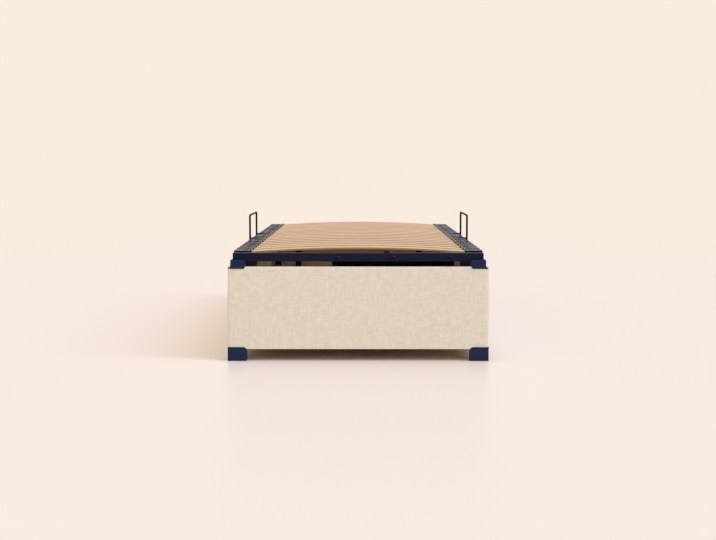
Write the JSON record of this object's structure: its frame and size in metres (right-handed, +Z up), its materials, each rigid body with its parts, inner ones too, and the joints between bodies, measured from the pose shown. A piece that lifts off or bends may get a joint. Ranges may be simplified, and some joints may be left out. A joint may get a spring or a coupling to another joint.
{
  "type": "storage bed base",
  "caption": "Single lift-up storage bed base: upholstered box on corner feet, hinged steel deck with bowed slats, gas struts and mattress retainer loops.",
  "frame": {"origin": "on the floor under the middle of the bed base", "axes": "+X to the right seen from the foot end, +Y to the head end, +Z up"},
  "size_m": [0.9374, 2.0374, 0.493],
  "materials": {
    "cream_fabric": "woven upholstery fabric over thin wadding",
    "panel_board": "bare particle board and softwood",
    "birch": "clear coated birch plywood",
    "navy_steel": "navy powder coat",
    "navy_plastic": "moulded navy plastic",
    "black_steel": "black paint",
    "zinc_steel": "zinc plated",
    "chrome_rod": "hard chrome",
    "rubber": "black rubber"
  },
  "bodies": {
    "base": {"foot_panel_board": "panel_board", "head_panel_board": "panel_board", "left_panel_board": "panel_board", "right_panel_board": "panel_board", "foot_panel_cover": "cream_fabric", "head_panel_cover": "cream_fabric", "left_panel_cover": "cream_fabric", "right_panel_cover": "cream_fabric", "front_left_foot": "navy_plastic", "front_right_foot": "navy_plastic", "rear_left_foot": "navy_plastic", "rear_right_foot": "navy_plastic", "front_left_cap": "navy_plastic", "front_right_cap": "navy_plastic", "rear_left_cap": "navy_plastic", "rear_right_cap": "navy_plastic", "foot_glides": "rubber", "corner_brackets": "zinc_steel", "floor_supports": "panel_board", "floor_boards": "panel_board", "hinge_brackets": "black_steel", "strut_anchors": "zinc_steel", "headboard_plates": "black_steel", "side_stiffeners": "black_steel", "panel_screws": "zinc_steel"},
    "deck": {"foot_rail": "navy_steel", "head_rail": "navy_steel", "left_side_rail": "navy_steel", "right_side_rail": "navy_steel", "mid_crossbar": "navy_steel", "left_slat_holders": "navy_plastic", "right_slat_holders": "navy_plastic", "left_mattress_retainer": "black_steel", "right_mattress_retainer": "black_steel", "grip_plate": "black_steel", "deck_bolts": "black_steel", "slat_buffer": "rubber", "strut_lugs": "navy_steel", "hinge_bolts": "zinc_steel", "slat_01": "birch", "slat_02": "birch", "slat_03": "birch", "slat_04": "birch", "slat_05": "birch", "slat_06": "birch", "slat_07": "birch", "slat_08": "birch", "slat_09": "birch", "slat_10": "birch", "slat_11": "birch", "slat_12": "birch", "slat_13": "birch", "slat_14": "birch", "slat_15": "birch", "slat_16": "birch", "slat_17": "birch", "slat_18": "birch"},
    "left_cylinder": {"left_strut_cylinder": "black_steel"},
    "left_rod": {"left_strut_rod": "chrome_rod"},
    "right_cylinder": {"right_strut_cylinder": "black_steel"},
    "right_rod": {"right_strut_rod": "chrome_rod"}
  },
  "joints": [
    {"name": "deck_lift", "type": "hinge", "parent": "base", "child": "deck", "pos_m": [0, 0.98, 0.374], "axis": [-1, 0, 0], "range_deg": [0, 45]},
    {"name": "left_cylinder_swing", "type": "hinge", "parent": "base", "child": "left_cylinder", "pos_m": [-0.404, 0.94, 0.19235], "axis": [-1, 0, 0], "range_deg": [0, 22.5]},
    {"name": "left_rod_slide", "type": "slide", "parent": "left_cylinder", "child": "left_rod", "axis": [0, -0.711, 0.7032], "range_m": [0, 0.109]},
    {"name": "right_cylinder_swing", "type": "hinge", "parent": "base", "child": "right_cylinder", "pos_m": [0.404, 0.94, 0.19235], "axis": [-1, 0, 0], "range_deg": [0, 22.5]},
    {"name": "right_rod_slide", "type": "slide", "parent": "right_cylinder", "child": "right_rod", "axis": [0, -0.711, 0.7032], "range_m": [0, 0.109]}
  ],
  "couplings": [
    {"joint": "left_cylinder_swing", "follows": "deck_lift", "ratio": 0.5},
    {"joint": "left_rod_slide", "follows": "deck_lift", "m_per_rad": 0.13824},
    {"joint": "right_cylinder_swing", "follows": "deck_lift", "ratio": 0.5},
    {"joint": "right_rod_slide", "follows": "deck_lift", "m_per_rad": 0.13824}
  ]
}
